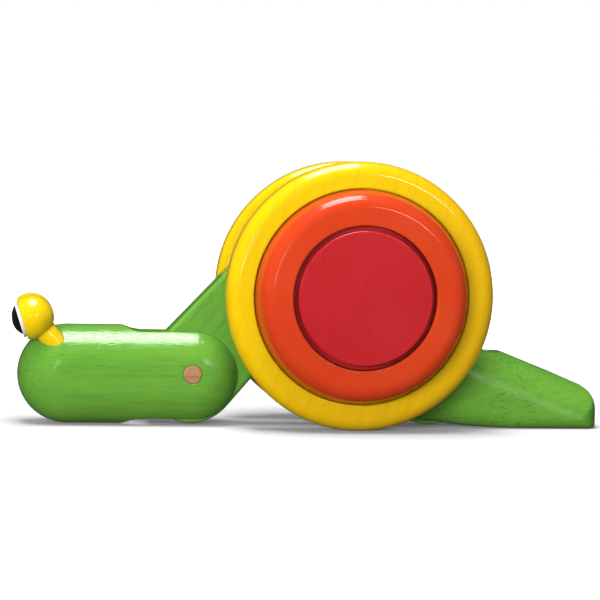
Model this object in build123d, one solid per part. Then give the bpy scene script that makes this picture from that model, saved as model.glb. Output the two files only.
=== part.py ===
from build123d import *
import os
from math import radians, tan

# Pull-along snail: a head, a humped middle and a tail of solid wood, hinged on two
# cross pins, with a pair of big shell wheels on one axle through the hump.
# Millimetres. +Z is up, the toy stands on z = 0, the nose points to -X, and y = 0 is
# its middle plane. The snail's left side is -Y. x = 0 is half way along the toy.

# Shell wheels, each a stack of disc, ring and hub (distances out from the middle plane)
wheel_radius = 70
wheel_thickness = 18
wheel_inner_y = 22.5
wheel_inner_rounding = 5
wheel_outer_rounding = 7
recess_depth = 4
ring_radius = 55.7
ring_hole_radius = 37.2
ring_proud = 13
ring_taper = 15
ring_rounding = 8
hub_radius = 34.8
hub_flange_radius = 36.9
hub_proud = 1
hub_groove_depth = 6
seat_gap = 0.3
edge_break = 1

# Axle and its spacer rings
axle_x = 24
axle_radius = 6
spacer_radius = 11
spacer_gap = 0.4

# Fits, as radial clearance
running_clearance = 0.08
glued_clearance = 0.02

# Hinges: one cross pin in the head and one in the tail
hinge_z = 27.5
head_hinge_x = axle_x - 85.5
tail_hinge_x = axle_x + 41.5
pin_radius = 5

# Humped middle: two legs that narrow a little and meet at the top
hump_half_width = 10.8
hump_foot_radius = 25
hump_foot_z = 25.9
hump_apex_radius = 22.4
hump_apex = (axle_x - 22, 96.7)
hump_crotch_rounding = 10
hump_edge_rounding = 2.5

# Head and tail stock
body_half_width = 21
body_height = 52
body_rounding = 20.5
slot_half_width = 11.3
end_radius = body_height / 2

# Head
nose_x = axle_x - 176.3
head_end_x = head_hinge_x + 1.4
head_slot_end_x = axle_x - 122
cord_hole_radius = 2
cord_hole_z = 20

# Tail
tail_tip_x = axle_x + 132
tail_slot_end_x = axle_x + 81
tail_slope_start_x = axle_x + 50.7
tail_slope_angle = 21.4
tail_bend_radius = 30
tail_join_x = tail_slope_start_x - tail_bend_radius * tan(radians(tail_slope_angle / 2))
tail_flat_x = axle_x + 85
tail_foot_rounding = 6
tail_tip_start_x = tail_tip_x - 25
tail_tip_angle = 22.9
tail_tip_rounding = 15
tail_tip_edge_rounding = 12
tail_foot_corner = 4

# Eyes: a ball on a stalk that leans forward, with a flat that looks ahead and a little down
eye_y = 12
eye_x = axle_x - 169.1
eye_z = 55.8
eye_radius = 11.5
eye_flat_depth = 5
eye_flat_rounding = 0.5
gaze_drop = 17
stalk_lean = 44
stalk_radius = 5.6
stalk_length = 28
stalk_neck_rounding = 1.5
eye_white_radius = 8.9
eye_white_thickness = 1.7
pupil_radius = 7.3
pupil_height = 3.7


def turned(outline):
    """Solid turned about the Y axis; outline is (radius, y, corner rounding) points."""
    face = make_face(Polyline(*[(radius, y) for radius, y, rounding in outline], close=True))
    for radius, y, rounding in outline:
        if rounding:
            corner = face.vertices().sort_by_distance((radius, y, 0))[0]
            face = fillet(corner, rounding)
    return revolve(face, Axis.Y)


def cross_bar(radius, half_length, x, z):
    """Plain round bar across the toy."""
    return Pos(x, 0, z) * Rot(90, 0, 0) * Cylinder(radius, 2 * half_length)


def across(profile, half_width):
    """Side profile drawn in x and z, extruded to both sides of the middle plane."""
    return extrude(Plane.XZ * profile, amount=half_width, both=True)


def stadium(start, end, radius):
    """Flat shape with round ends about two points."""
    run = Vector(*end) - Vector(*start)
    middle = (Vector(*end) + Vector(*start)) / 2
    angle = run.get_signed_angle(Vector(1, 0, 0), Vector(0, 0, -1))
    return Pos(middle.X, middle.Y) * Rot(0, 0, angle) * SlotCenterToCenter(run.length, 2 * radius)


def round_over(block, rounding):
    """Both side outlines of a block rounded over."""
    return fillet(block.faces().filter_by(Axis.Y).edges(), rounding)


def hinge_slot(start_x, end_x):
    """Upright slot that takes the hump's leg, round at its ends in plan."""
    plan = stadium((start_x, 0), (end_x, 0), slot_half_width)
    return extrude(plan, amount=2 * body_height, both=True)


# --- Middle -------------------------------------------------------------------------

def hump_leg(foot_x):
    """Side profile of a leg: the hull of its round foot and the round apex."""
    foot = Pos(foot_x, hump_foot_z) * Circle(hump_foot_radius)
    apex = Pos(*hump_apex) * Circle(hump_apex_radius)
    return make_hull(foot.edges() + apex.edges())


def make_hump():
    profile = hump_leg(head_hinge_x) + hump_leg(tail_hinge_x)
    crotch_z = hump_apex[1] - 2 * hump_apex_radius
    crotch = profile.vertices().sort_by_distance((hump_apex[0], crotch_z, 0))[0]
    profile = fillet(crotch, hump_crotch_rounding)
    hump = round_over(across(profile, hump_half_width), hump_edge_rounding)
    hump -= cross_bar(axle_radius + running_clearance, body_height, axle_x, wheel_radius)
    for hinge_x in (head_hinge_x, tail_hinge_x):
        hump -= cross_bar(pin_radius + running_clearance, body_height, hinge_x, hinge_z)
    return hump


def make_pin(hinge_x):
    half_length = body_half_width
    outline = [
        (0, -half_length, 0),
        (pin_radius, -half_length, edge_break),
        (pin_radius, half_length, edge_break),
        (0, half_length, 0),
    ]
    return Pos(hinge_x, 0, hinge_z) * turned(outline)


# --- Shell --------------------------------------------------------------------------

wheel_outer_y = wheel_inner_y + wheel_thickness
seat_y = wheel_outer_y - recess_depth
ring_face_y = wheel_outer_y + ring_proud
hub_face_y = ring_face_y + hub_proud


def on_axle(solid):
    return Pos(axle_x, 0, wheel_radius) * solid


def make_wheel():
    bore = axle_radius + glued_clearance
    recess = ring_radius + seat_gap
    return on_axle(turned([
        (bore, wheel_inner_y, 0),
        (wheel_radius, wheel_inner_y, wheel_inner_rounding),
        (wheel_radius, wheel_outer_y, wheel_outer_rounding),
        (recess, wheel_outer_y, edge_break),
        (recess, seat_y, 0),
        (bore, seat_y, 0),
    ]))


def make_ring():
    front_radius = ring_radius - ring_proud * tan(radians(ring_taper))
    return on_axle(turned([
        (ring_hole_radius, seat_y, 0),
        (ring_radius, seat_y, 0),
        (ring_radius, wheel_outer_y, 0),
        (front_radius, ring_face_y, ring_rounding),
        (ring_hole_radius, ring_face_y, edge_break),
    ]))


def make_hub():
    flange_y = hub_face_y - hub_groove_depth
    return on_axle(turned([
        (0, seat_y, 0),
        (hub_flange_radius, seat_y, 0),
        (hub_flange_radius, flange_y, 0),
        (hub_radius, flange_y, 0),
        (hub_radius, hub_face_y, edge_break),
        (0, hub_face_y, 0),
    ]))


def make_spacer():
    bore = axle_radius + glued_clearance
    inner_y = hump_half_width + spacer_gap
    return on_axle(turned([
        (bore, inner_y, 0),
        (spacer_radius, inner_y, edge_break),
        (spacer_radius, wheel_inner_y, 0),
        (bore, wheel_inner_y, 0),
    ]))


def make_axle():
    return cross_bar(axle_radius, seat_y, axle_x, wheel_radius)


# --- Eyes ---------------------------------------------------------------------------

def place_eye(solid):
    return Pos(eye_x, eye_y, eye_z) * solid


def facing_front(solid, offset):
    """A solid turned about Z, set facing the front of the eye at a distance from its centre."""
    return place_eye(Rot(0, -90 - gaze_drop, 0) * Pos(0, 0, offset) * solid)


def make_eye():
    shaft = Pos(0, -stalk_length / 2) * Rectangle(2 * stalk_radius, stalk_length)
    profile = Circle(eye_radius) + shaft
    profile &= Pos(stalk_length) * Rectangle(2 * stalk_length, 3 * stalk_length)
    neck_y = -((eye_radius ** 2 - stalk_radius ** 2) ** 0.5)
    neck = profile.vertices().sort_by_distance((stalk_radius, neck_y, 0))[0]
    knob = Rot(90, 0, 0) * revolve(fillet(neck, stalk_neck_rounding), Axis.Y)
    front = Pos(0, 0, eye_flat_depth + eye_radius) * Box(
        4 * eye_radius, 4 * eye_radius, 2 * eye_radius)
    knob = place_eye(Rot(0, -stalk_lean, 0) * knob) - facing_front(front, 0)
    flat = knob.faces().filter_by(GeomType.PLANE).sort_by(Axis.X)[0]
    return fillet(flat.edges(), eye_flat_rounding)


def make_eye_white():
    disc = Cylinder(eye_white_radius, eye_white_thickness)
    return facing_front(disc, eye_flat_depth + eye_white_thickness / 2)


def make_pupil():
    dome_radius = (pupil_radius ** 2 + pupil_height ** 2) / (2 * pupil_height)
    below_base = Pos(0, 0, -dome_radius) * Box(4 * dome_radius, 4 * dome_radius, 2 * dome_radius)
    dome = Pos(0, 0, pupil_height - dome_radius) * Sphere(dome_radius) - below_base
    return facing_front(dome, eye_flat_depth + eye_white_thickness)


# --- Head ---------------------------------------------------------------------------

def make_head():
    profile = stadium((nose_x + end_radius, end_radius), (head_end_x, end_radius), end_radius)
    head = round_over(across(profile, body_half_width), body_rounding)
    slot_start_x = head_slot_end_x + slot_half_width
    head -= hinge_slot(slot_start_x, head_hinge_x + 2 * end_radius)
    head -= cross_bar(pin_radius + glued_clearance, body_height, head_hinge_x, hinge_z)
    stalk_hole = Pos(0, 0, -stalk_length / 2) * Cylinder(
        stalk_radius + glued_clearance, stalk_length)
    stalk_hole = place_eye(Rot(0, -stalk_lean, 0) * stalk_hole)
    ball_seat = place_eye(Sphere(eye_radius + running_clearance))
    for cutter in (stalk_hole, ball_seat):
        head = head - cutter - mirror(cutter, Plane.XZ)
    cord_hole_length = head_slot_end_x - nose_x + slot_half_width
    cord_hole = Rot(0, 90, 0) * Cylinder(cord_hole_radius, cord_hole_length)
    head -= Pos(nose_x + cord_hole_length / 2, 0, cord_hole_z) * cord_hole
    return head


# --- Tail ---------------------------------------------------------------------------

def tail_heel():
    """Round front end of the tail, up to the upright plane where the tapering part starts."""
    profile = stadium((tail_hinge_x, end_radius), (tail_tip_x, end_radius), end_radius)
    stock = round_over(across(profile, body_half_width), body_rounding)
    return split(stock, Plane.YZ.offset(tail_join_x), keep=Keep.BOTTOM)


def slope_z(x):
    """Height of the tail's sloping top."""
    return body_height - (x - tail_slope_start_x) * tan(radians(tail_slope_angle))


def tail_top():
    """Deep block whose top runs level, bends and slopes down, with its edges rounded over."""
    deep = -2 * body_height
    far_x = tail_tip_x + body_height
    face = make_face(Polyline(
        (tail_hinge_x - body_height, deep),
        (tail_hinge_x - body_height, body_height),
        (tail_slope_start_x, body_height),
        (far_x, slope_z(far_x)),
        (far_x, deep),
        close=True))
    bend = face.vertices().sort_by_distance((tail_slope_start_x, body_height, 0))[0]
    block = across(fillet(bend, tail_bend_radius), body_half_width)
    side_edges = block.faces().filter_by(Axis.Y).edges()
    return fillet(side_edges.filter_by(lambda edge: edge.center().Z > 0), body_rounding)


def foot_section(x, rounding):
    """Upright section across the tail with its two bottom corners rounded."""
    half, tall = body_half_width, 2 * body_height
    section = RectangleRounded(2 * half, 2 * tall, rounding)
    return Plane.YZ.offset(x) * Pos(0, tall) * section


def tail_foot():
    """Block whose bottom edges ease from a full rounding to a small one."""
    easing = loft([
        foot_section(tail_join_x, body_rounding),
        foot_section(tail_flat_x, tail_foot_rounding),
    ])
    rear = extrude(foot_section(tail_flat_x, tail_foot_rounding), amount=body_height)
    return easing + rear


def tail_tip():
    """Long block whose end is turned down and rounded, with its edges rounded over."""
    length = 2 * body_height
    steeper = tan(radians(tail_tip_angle))
    tip_top = slope_z(tail_tip_start_x) - (tail_tip_x - tail_tip_start_x) * steeper
    side = make_face(Polyline(
        (tail_tip_x - length, -length),
        (tail_tip_x, -length),
        (tail_tip_x, tip_top),
        (tail_tip_x - length, tip_top + length * steeper),
        close=True))
    corner = side.vertices().sort_by_distance((tail_tip_x, tip_top, 0))[0]
    block = across(fillet(corner, tail_tip_rounding), body_half_width)
    edges = block.faces().filter_by(Axis.Y).edges().sort_by(Axis.X)
    return fillet(edges[-4:], tail_tip_edge_rounding)


def foot_corner_cutter():
    """What is cut away to round the lower corner of the tail's tip."""
    x, rounding = tail_tip_x, tail_foot_corner
    corner = Pos(x, 0) * Rectangle(2 * rounding, 2 * rounding)
    return across(corner - Pos(x - rounding, rounding) * Circle(rounding), body_height)


def make_tail():
    tail = tail_heel() + (tail_top() & tail_foot() & tail_tip())
    tail -= foot_corner_cutter()
    tail -= hinge_slot(tail_hinge_x - 2 * end_radius, tail_slot_end_x - slot_half_width)
    tail -= cross_bar(pin_radius + glued_clearance, body_height, tail_hinge_x, hinge_z)
    return tail


# --- Files --------------------------------------------------------------------------

def write(name, solid):
    export_step(solid, f"parts/{name}.step")


def write_pair(name, solid):
    """A piece on the +Y side, the snail's right, and its mirror image on the left."""
    write(f"right_{name}", solid)
    write(f"left_{name}", mirror(solid, Plane.XZ))


os.makedirs("parts", exist_ok=True)
write("hump", make_hump())
write("head", make_head())
write("head_pin", make_pin(head_hinge_x))
write("tail", make_tail())
write("tail_pin", make_pin(tail_hinge_x))
write("axle", make_axle())
write_pair("wheel", make_wheel())
write_pair("ring", make_ring())
write_pair("hub", make_hub())
write_pair("spacer", make_spacer())
write_pair("eye", make_eye())
write_pair("eye_white", make_eye_white())
write_pair("pupil", make_pupil())
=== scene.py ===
import math

import bpy
from mathutils import Matrix, Vector

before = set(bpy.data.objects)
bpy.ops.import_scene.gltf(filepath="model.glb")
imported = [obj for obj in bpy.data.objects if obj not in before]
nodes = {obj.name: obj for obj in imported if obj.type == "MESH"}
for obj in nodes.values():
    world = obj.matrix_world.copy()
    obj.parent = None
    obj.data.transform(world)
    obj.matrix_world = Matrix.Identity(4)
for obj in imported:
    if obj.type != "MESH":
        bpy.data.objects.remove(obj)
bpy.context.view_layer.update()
scene = bpy.context.scene


# ---------------------------------------------------------------- colours
def linear(red, green, blue):
    """A display colour (0 to 255) as the linear colour that a shader takes, by the sRGB curve."""
    def one(c):
        c /= 255
        return c / 12.92 if c <= 0.04045 else ((c + 0.055) / 1.055) ** 2.4
    return (one(red), one(green), one(blue), 1.0)


# ---------------------------------------------------------------- node helpers
EDGE_STARTS, EDGE_FULL = 0.985, 0.86   # cosine of the turn between true and rounded normal
EDGE_SAMPLES = 4


class Graph:
    """A material's node tree, built from short calls."""

    def __init__(self, name):
        self.material = bpy.data.materials.new(name)
        self.material.use_nodes = True
        self.tree = self.material.node_tree
        self.tree.nodes.clear()

    def node(self, kind, **settings):
        made = self.tree.nodes.new(kind)
        for key, value in settings.items():
            setattr(made, key, value)
        return made

    def feed(self, socket, value):
        """Links another node's output to the socket, or sets a constant on it."""
        if isinstance(value, bpy.types.NodeSocket):
            self.tree.links.new(value, socket)
        else:
            socket.default_value = value

    def math(self, operation, *values, clamp=False):
        made = self.node("ShaderNodeMath", operation=operation, use_clamp=clamp)
        for socket, value in zip(made.inputs, values):
            self.feed(socket, value)
        return made.outputs[0]

    def ramp(self, value, low, high, at_low=0.0, at_high=1.0):
        """value taken from low..high to at_low..at_high, smoothly, and held beyond."""
        made = self.node("ShaderNodeMapRange", interpolation_type="SMOOTHSTEP")
        for name, number in (("From Min", low), ("From Max", high),
                             ("To Min", at_low), ("To Max", at_high)):
            made.inputs[name].default_value = number
        self.feed(made.inputs["Value"], value)
        return made.outputs["Result"]

    def place(self, turn=(0, 0, 0), stretch=(1, 1, 1), shift=(0, 0, 0)):
        """The object's own coordinates in metres, turned by degrees and stretched."""
        turned = self.node("ShaderNodeMapping", vector_type="POINT")
        self.feed(turned.inputs["Vector"], self.node("ShaderNodeTexCoord").outputs["Object"])
        turned.inputs["Location"].default_value = shift
        turned.inputs["Rotation"].default_value = tuple(map(math.radians, turn))
        stretched = self.node("ShaderNodeMapping", vector_type="POINT")
        self.feed(stretched.inputs["Vector"], turned.outputs["Vector"])
        stretched.inputs["Scale"].default_value = stretch
        return stretched.outputs["Vector"]

    def split(self, vector):
        made = self.node("ShaderNodeSeparateXYZ")
        self.feed(made.inputs[0], vector)
        return made.outputs["X"], made.outputs["Y"], made.outputs["Z"]

    def noise(self, vector, scale, detail=2.0, roughness=0.5, distortion=0.0):
        made = self.node("ShaderNodeTexNoise")
        self.feed(made.inputs["Vector"], vector)
        made.inputs["Scale"].default_value = scale
        made.inputs["Detail"].default_value = detail
        made.inputs["Roughness"].default_value = roughness
        made.inputs["Distortion"].default_value = distortion
        return made.outputs["Fac"]

    def mix(self, factor, a, b):
        made = self.node("ShaderNodeMix", data_type="RGBA")
        self.feed(made.inputs["Factor"], factor)
        self.feed(made.inputs[6], a)
        self.feed(made.inputs[7], b)
        return made.outputs[2]

    def bevel(self, radius, samples):
        """The surface's normal, with edges rounded by radius in metres."""
        made = self.node("ShaderNodeBevel", samples=samples)
        made.inputs["Radius"].default_value = radius
        return made.outputs["Normal"]

    def edges(self, radius):
        """1 on a convex or concave edge, 0 on plain surface."""
        dot = self.node("ShaderNodeVectorMath", operation="DOT_PRODUCT")
        self.feed(dot.inputs[0], self.bevel(radius, EDGE_SAMPLES))
        self.feed(dot.inputs[1], self.node("ShaderNodeNewGeometry").outputs["Normal"])
        return self.ramp(dot.outputs["Value"], EDGE_STARTS, EDGE_FULL)

    def bump(self, height, strength, depth, normal=None):
        """A normal tilted by height. depth is in metres."""
        made = self.node("ShaderNodeBump")
        made.inputs["Strength"].default_value = strength
        made.inputs["Distance"].default_value = depth
        self.feed(made.inputs["Height"], height)
        if normal is not None:
            self.feed(made.inputs["Normal"], normal)
        return made.outputs["Normal"]

    def surface(self, sockets):
        """The finished material: a principled shader with the named sockets fed."""
        shader = self.node("ShaderNodeBsdfPrincipled")
        for name, value in sockets.items():
            self.feed(shader.inputs[name], value)
        out = self.node("ShaderNodeOutputMaterial")
        self.tree.links.new(shader.outputs["BSDF"], out.inputs["Surface"])
        return self.material


# ---------------------------------------------------------------- wood and plastic
# How much longer than wide the wood's features are.
FIBRE_STRETCH, PORE_STRETCH, FLECK_STRETCH = 16.0, 13.0, 7.0
# Noise scales, in features per metre along the fibres.
STREAKS_PER_METRE = 38.0
FINE_PER_METRE = 150.0
PORES_PER_METRE = 150.0
FLECKS_PER_METRE = 330.0
PATCHES_PER_METRE = 30.0   # where the pores gather
CLOUDS_PER_METRE = 22.0    # where the stain lies thin
WANDERS_PER_METRE = 14.0   # of the growth rings
FLOW_PER_METRE = 90.0      # marks in the plastic
SCUFFS_PER_METRE = 420.0
RINGS_PER_METRE = 110.0
RING_LEAN = 0.16           # growth rings lean this far from the fibres, rise over run
RING_WANDER = 0.016        # and wander this far, in metres
LATE_WOOD_POWER = 7.0      # the higher, the thinner the dark line of each ring
CLOUD_STRENGTH = 0.22
SHADE_ALONG, SHADE_DOWN = 0.8, 0.6       # painted shade deepens the colour this way, X and -Z, and the painted shade grows between these, in metres
SHADE_STARTS, SHADE_FULL = -0.07, 0.03   # and its colour changes between these, in metres
WOOD_ROUGHNESS = (0.40, 0.52)   # under the lacquer
PORE_ROUGHNESS = 0.12      # added in the pores
WOOD_GLOSS = 0.1           # the bare wood's own specular level
LACQUER_IOR = 1.7
SANDING_SAMPLES = 6
GRAIN_STRENGTH, GRAIN_DEPTH = 0.35, 0.00006   # depths in metres
FILM_DEPTH = 0.00008
FLOW_STRENGTH, FLOW_DEPTH = 0.15, 0.00003
PLASTIC_EDGE, PLASTIC_EDGE_TINT = 0.0004, 0.4
SCUFF_ROUGHNESS = 0.10


def wood(name, colour, deep, pale, turn, ring_shift=(0, 0, 0), pores=0.5, figure=0.35,
         streak=0.3, coat=0.8, coat_roughness=0.05, film=0.5, rounding=0.0006,
         painted_shade=0.0, wear=0.38, wear_reach=0.0009, flecks=0.0):
    """Stained and lacquered close-grained wood. The fibres run along the turned X axis.

    colour is the stain's usual colour, deep its colour in pores and late wood, and pale
    where it lies thin, as along an edge. ring_shift is where the tree's middle is. pores,
    figure and streak are how strongly the pores, rings and streaks show. coat is how much
    lacquer there is, film how uneven it lies, and flecks how much of it is missing over
    open pores. rounding is how far the sanding softens the edges, in metres. painted_shade
    is how much painted shade deepens the colour towards the rear and below, standing in
    for the light falling off there. wear is how pale the edges are, over wear_reach metres."""
    g = Graph(name)
    fibres = g.place(turn, (1.0, FIBRE_STRETCH, FIBRE_STRETCH), ring_shift)
    along = g.place(turn, (1.0, 1.0, 1.0), ring_shift)

    # growth rings: shells round the fibre axis, bent a little by slow noise
    x, y, z = g.split(along)
    across = g.math("SQRT", g.math("ADD", g.math("POWER", y, 2.0), g.math("POWER", z, 2.0)))
    leaning = g.math("ADD", across, g.math("MULTIPLY", x, RING_LEAN))
    wander = g.math("MULTIPLY", g.noise(along, WANDERS_PER_METRE, 1.0), RING_WANDER)
    shell = g.math("MULTIPLY", g.math("ADD", leaning, wander), RINGS_PER_METRE)
    late_wood = g.math("POWER", g.math("FRACT", shell), LATE_WOOD_POWER)

    streaks = g.noise(fibres, STREAKS_PER_METRE, 4.0, 0.62)
    fine = g.noise(fibres, FINE_PER_METRE, 2.0, 0.55)
    pore_space = g.place(turn, (1.0, PORE_STRETCH, PORE_STRETCH), ring_shift)
    pore = g.ramp(g.noise(pore_space, PORES_PER_METRE, 1.0, 0.4), 0.58, 0.72)
    patchy = g.ramp(g.noise(along, PATCHES_PER_METRE, 2.0), 0.38, 0.62)
    cloud = g.noise(along, CLOUDS_PER_METRE, 3.0, 0.6)

    # stain: darker in the rings, streaks and pores, paler in clouds and on worn edges; painted
    # shade on one side
    tint = g.mix(g.math("MULTIPLY", late_wood, figure, clamp=True), colour, deep)
    tint = g.mix(g.ramp(streaks, 0.42, 0.74, 0.0, streak), tint, deep)
    tint = g.mix(g.ramp(cloud, 0.35, 0.8, 0.0, CLOUD_STRENGTH), tint, pale)
    pore_tint = g.math("MULTIPLY", g.math("MULTIPLY", pore, patchy), pores, clamp=True)
    tint = g.mix(pore_tint, tint, deep)
    # painted shade: the colour deepens towards the rear and below, where less light falls
    if painted_shade:
        x, y, z = g.split(g.place())
        shade_side = g.math("SUBTRACT", g.math("MULTIPLY", x, SHADE_ALONG),
                       g.math("MULTIPLY", z, SHADE_DOWN))
        tint = g.mix(g.ramp(shade_side, SHADE_STARTS, SHADE_FULL, 0.0, painted_shade), tint, deep)
    uneven_wear = g.ramp(streaks, 0.3, 0.6, 0.15 * wear, wear)
    tint = g.mix(g.math("MULTIPLY", g.edges(wear_reach), uneven_wear), tint, pale)

    rough = g.math("ADD", g.ramp(streaks, 0.3, 0.7, *WOOD_ROUGHNESS),
                   g.math("MULTIPLY", pore, PORE_ROUGHNESS), clamp=True)

    # relief: the grain under the lacquer, and the lacquer's own uneven skin
    sanded = g.bevel(rounding, SANDING_SAMPLES)
    grain = g.math("ADD", g.math("SUBTRACT", g.math("MULTIPLY", fine, 0.35),
                                 g.math("MULTIPLY", pore, 0.8)),
                   g.math("MULTIPLY", streaks, 0.5))
    lacquer = g.math("SUBTRACT", g.math("MULTIPLY", fine, 2.4), g.math("MULTIPLY", pore, 1.4))

    coating = coat
    if flecks:
        fleck_space = g.place(turn, (1.0, FLECK_STRETCH, FLECK_STRETCH), ring_shift)
        fleck = g.ramp(g.noise(fleck_space, FLECKS_PER_METRE, 2.0, 0.6), 0.50, 0.64)
        coating = g.math("SUBTRACT", coat, g.math("MULTIPLY", fleck, flecks))

    return g.surface({
        "Base Color": tint, "Roughness": rough, "Specular IOR Level": WOOD_GLOSS,
        "Normal": g.bump(grain, GRAIN_STRENGTH, GRAIN_DEPTH, sanded),
        "Coat Normal": g.bump(lacquer, film, FILM_DEPTH, sanded),
        "Coat Weight": coating, "Coat Roughness": coat_roughness, "Coat IOR": LACQUER_IOR,
    })


def plastic(name, colour, second, roughness):
    """Moulded glossy plastic with faint flow marks, fine scuffs and lighter edges."""
    g = Graph(name)
    flow = g.noise(g.place(), FLOW_PER_METRE, 3.0, 0.55, 0.6)
    scuff_space = g.place((0, 31, 17), (1.0, 9.0, 1.0))
    scuff = g.ramp(g.noise(scuff_space, SCUFFS_PER_METRE, 2.0), 0.60, 0.72)
    tint = g.mix(g.ramp(flow, 0.35, 0.7, 0.0, 0.7), colour, second)
    tint = g.mix(g.math("MULTIPLY", g.edges(PLASTIC_EDGE), PLASTIC_EDGE_TINT), tint, second)
    rough = g.math("ADD", g.ramp(flow, 0.3, 0.7, roughness, roughness + 0.04),
                   g.math("MULTIPLY", scuff, SCUFF_ROUGHNESS), clamp=True)
    marks = g.math("ADD", flow, g.math("MULTIPLY", scuff, 0.4))
    return g.surface({"Base Color": tint, "Roughness": rough,
                      "Normal": g.bump(marks, FLOW_STRENGTH, FLOW_DEPTH)})


# ---------------------------------------------------------------- materials
# Turns, in degrees, that bring a piece's fibres to the X axis.
ALONG_BODY = (0, 0, 0)
DOWN_THE_TAIL = (0, 16, 0)
UP_THE_NECK = (0, 52, 0)
UP_THE_STALK = (0, 66, 0)
UP_THE_WHEEL = (0, 78, 0)
UP_THE_RING = (0, 86, 0)
UP_THE_HUB = (0, 88, 0)
ALONG_PIN = (0, 0, 90)

green = dict(colour=linear(108, 172, 57), deep=linear(44, 112, 46), pale=linear(144, 196, 74))
body_green = wood("body_green", turn=ALONG_BODY, ring_shift=(0, 0.03, 0.05), pores=0.45,
                  figure=0.10, streak=0.25, film=0.28, coat=1.0, coat_roughness=0.025,
                  flecks=0.8, **green)
tail_green = wood("tail_green", turn=DOWN_THE_TAIL, ring_shift=(0, 0.02, 0.04), pores=0.85,
                  figure=0.12, rounding=0.0030, film=0.5, flecks=0.7, **green)
neck_green = wood("neck_green", turn=UP_THE_NECK, ring_shift=(0, 0.03, 0.02), pores=0.4,
                  figure=0.10, **green)
# the last setting paints shade: deeper amber towards each wheel's rear and lower side
shell_yellow = wood("shell_yellow", linear(244, 200, 2), linear(206, 132, 24),
                    linear(252, 214, 8), UP_THE_WHEEL, ring_shift=(0.03, 0.02, 0.075),
                    pores=0.15, figure=0.16, streak=0.16, coat_roughness=0.03, film=0.1,
                    painted_shade=0.28)
ring_orange = wood("ring_orange", linear(212, 62, 24), linear(188, 46, 24),
                   linear(238, 92, 46), UP_THE_RING, ring_shift=(0.0, 0.03, 0.06),
                   pores=0.12, figure=0.06, streak=0.12, coat=0.6, coat_roughness=0.025,
                   film=0.1)
hub_red = wood("hub_red", linear(190, 31, 37), linear(154, 18, 34), linear(206, 56, 60),
               UP_THE_HUB, ring_shift=(0.01, 0.03, 0.05), pores=0.15, figure=0.05,
               streak=0.10, coat_roughness=0.08)
pin_wood = wood("pin_wood", linear(186, 138, 98), linear(142, 92, 66), linear(206, 164, 122),
                ALONG_PIN, ring_shift=(0.0, 0.0635, 0.0245), pores=0.5, figure=0.8,
                coat=0.4, coat_roughness=0.2, wear=1.6, wear_reach=0.0018)
hidden_wood = wood("hidden_wood", linear(206, 166, 118), linear(156, 110, 72),
                   linear(226, 196, 150), ALONG_PIN, ring_shift=(0.0, 0.004, 0.002),
                   pores=0.5, figure=0.4, coat=0.2, coat_roughness=0.3)
eye_yellow = wood("eye_yellow", linear(246, 206, 6), linear(216, 150, 12),
                  linear(255, 226, 20), UP_THE_STALK, ring_shift=(0, 0.004, 0.006),
                  pores=0.2, figure=0.10, streak=0.2, coat=0.9, film=0.12)
eye_white = plastic("eye_white", linear(240, 238, 230), linear(226, 224, 214), 0.22)
pupil_black = plastic("pupil_black", linear(14, 13, 14), linear(30, 29, 31), 0.12)

finishes = {
    "hump": neck_green, "head": body_green, "tail": tail_green,
    "head_pin": pin_wood, "tail_pin": pin_wood, "axle": hidden_wood,
}
for side in ("left", "right"):
    finishes |= {
        f"{side}_wheel": shell_yellow, f"{side}_ring": ring_orange, f"{side}_hub": hub_red,
        f"{side}_spacer": hidden_wood, f"{side}_eye": eye_yellow,
        f"{side}_eye_white": eye_white, f"{side}_pupil": pupil_black,
    }
for name, node in nodes.items():
    for slot in node.material_slots:
        slot.link = "OBJECT"
        slot.material = finishes[name]


# ---------------------------------------------------------------- camera
CAMERA_AT = (-0.16557, -1.3, 0.13962)
CAMERA_YAW, CAMERA_PITCH, CAMERA_ROLL = map(math.radians, (7.112, -3.221, 1.126))
CAMERA_LENS, CAMERA_SENSOR = 148.12, 36   # mm


def camera(at, yaw, pitch, roll, lens):
    """A camera that looks along +Y, then turned right by yaw, up by pitch and by roll."""
    forward = Vector((math.sin(yaw) * math.cos(pitch), math.cos(yaw) * math.cos(pitch),
                      math.sin(pitch)))
    level = Vector((math.cos(yaw), -math.sin(yaw), 0))
    upright = level.cross(forward)
    right = math.cos(roll) * level + math.sin(roll) * upright
    up = math.cos(roll) * upright - math.sin(roll) * level
    data = bpy.data.cameras.new("camera")
    data.sensor_width = CAMERA_SENSOR
    data.lens = lens
    data.clip_start, data.clip_end = 0.05, 60
    made = bpy.data.objects.new("camera", data)
    turn = Matrix((right, up, -forward)).transposed().to_4x4()
    made.matrix_world = Matrix.Translation(at) @ turn
    scene.collection.objects.link(made)
    return made


scene.camera = camera(CAMERA_AT, CAMERA_YAW, CAMERA_PITCH, CAMERA_ROLL, CAMERA_LENS)


# ---------------------------------------------------------------- stage and light
FLOOR_REACH = 14.0         # metres to each side
PAPER_GLOW = 0.08          # the floor's own light at the toy
GLOW_STARTS, GLOW_FULL = 0.16, 0.6   # metres from the toy's middle
MIDDLE = (0.0, 0.0, 0.07)
LIGHTS = (
    # name, at, aim, width, height, watts, whether the toy mirrors it
    ("overhead", (-0.10, -0.085, 1.0), (-0.10, -0.0849, 0.0), 0.42, 0.70, 9.4, True),
    ("left_front", (-1.10, -1.3, 0.20), MIDDLE, 0.7, 0.5, 12.5, False),
    ("front", (-0.60, -1.85, 0.34), MIDDLE, 1.4, 0.8, 19.5, False),
    ("back", (0.5, 1.9, 0.5), MIDDLE, 1.4, 0.7, 7.0, False),
    ("strip_left", (-0.40, -1.5, 0.24), MIDDLE, 0.06, 0.36, 0.5, True),
    ("strip_right", (0.52, -1.42, 0.46), MIDDLE, 0.42, 0.08, 1.1, True),
)
ROOM_SEEN = 1.0            # strength of the white room as the camera sees it,
ROOM_MIRRORED = 0.04       # as the lacquer mirrors it,
ROOM_LIGHT = 0.24          # and as it lights the toy


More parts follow.
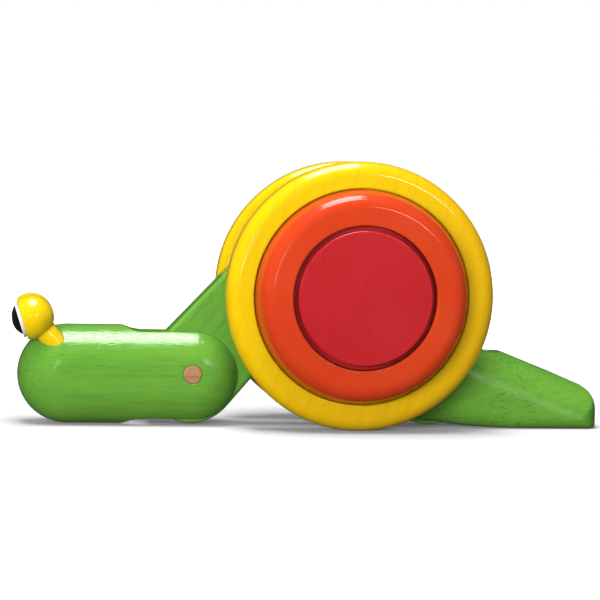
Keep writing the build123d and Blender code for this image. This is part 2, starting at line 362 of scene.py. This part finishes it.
def softbox(name, at, aim, width, height, power, mirrored):
    """A rectangular light. One that isn't mirrored stays out of the lacquer's reflections."""
    data = bpy.data.lights.new(name, "AREA")
    data.shape = "RECTANGLE"
    data.size, data.size_y = width, height
    data.energy = power
    made = bpy.data.objects.new(name, data)
    made.location = at
    made.rotation_mode = "QUATERNION"
    made.rotation_quaternion = (Vector(aim) - Vector(at)).to_track_quat("-Z", "Y")
    made.visible_glossy = mirrored
    scene.collection.objects.link(made)


def floor():
    """Sheet of white paper that glows more and more away from the toy, so no edge shows."""
    mesh = bpy.data.meshes.new("floor")
    corners = [(-1, -1), (1, -1), (1, 1), (-1, 1)]
    mesh.from_pydata([(FLOOR_REACH * x, FLOOR_REACH * y, 0) for x, y in corners], [],
                     [(0, 1, 2, 3)])
    made = bpy.data.objects.new("floor", mesh)
    scene.collection.objects.link(made)
    g = Graph("floor_paper")
    tint = g.mix(g.noise(g.place(), 60.0, 3.0), linear(244, 244, 245), linear(248, 248, 249))
    away = g.node("ShaderNodeVectorMath", operation="LENGTH")
    g.feed(away.inputs[0], g.place())
    glow = g.ramp(away.outputs["Value"], GLOW_STARTS, GLOW_FULL, PAPER_GLOW, 1.0)
    mesh.materials.append(g.surface({
        "Base Color": tint, "Emission Color": tint, "Emission Strength": glow,
        "Roughness": 0.9, "Specular IOR Level": 0.0}))
    made.visible_glossy = False


def room():
    """A white world, bright behind the toy and dim as a light or a reflection."""
    world = bpy.data.worlds.new("studio")
    world.use_nodes = True
    tree = world.node_tree
    background = tree.nodes["Background"]
    background.inputs["Color"].default_value = (1, 1, 1, 1)
    ray = tree.nodes.new("ShaderNodeLightPath")
    dim = tree.nodes.new("ShaderNodeMapRange")
    dim.inputs["To Min"].default_value = ROOM_LIGHT
    dim.inputs["To Max"].default_value = ROOM_MIRRORED
    tree.links.new(ray.outputs["Is Glossy Ray"], dim.inputs["Value"])
    level = tree.nodes.new("ShaderNodeMapRange")
    level.inputs["To Max"].default_value = ROOM_SEEN
    tree.links.new(ray.outputs["Is Camera Ray"], level.inputs["Value"])
    tree.links.new(dim.outputs["Result"], level.inputs["To Min"])
    tree.links.new(level.outputs["Result"], background.inputs["Strength"])
    scene.world = world


floor()
for light in LIGHTS:
    softbox(*light)
room()
scene.view_settings.view_transform = "Standard"
scene.cycles.max_bounces = 6
scene.cycles.diffuse_bounces = 0    # the photo's shadows hold no colour from the toy

# ---------------------------------------------------------------- hand over
bpy.context.view_layer.update()
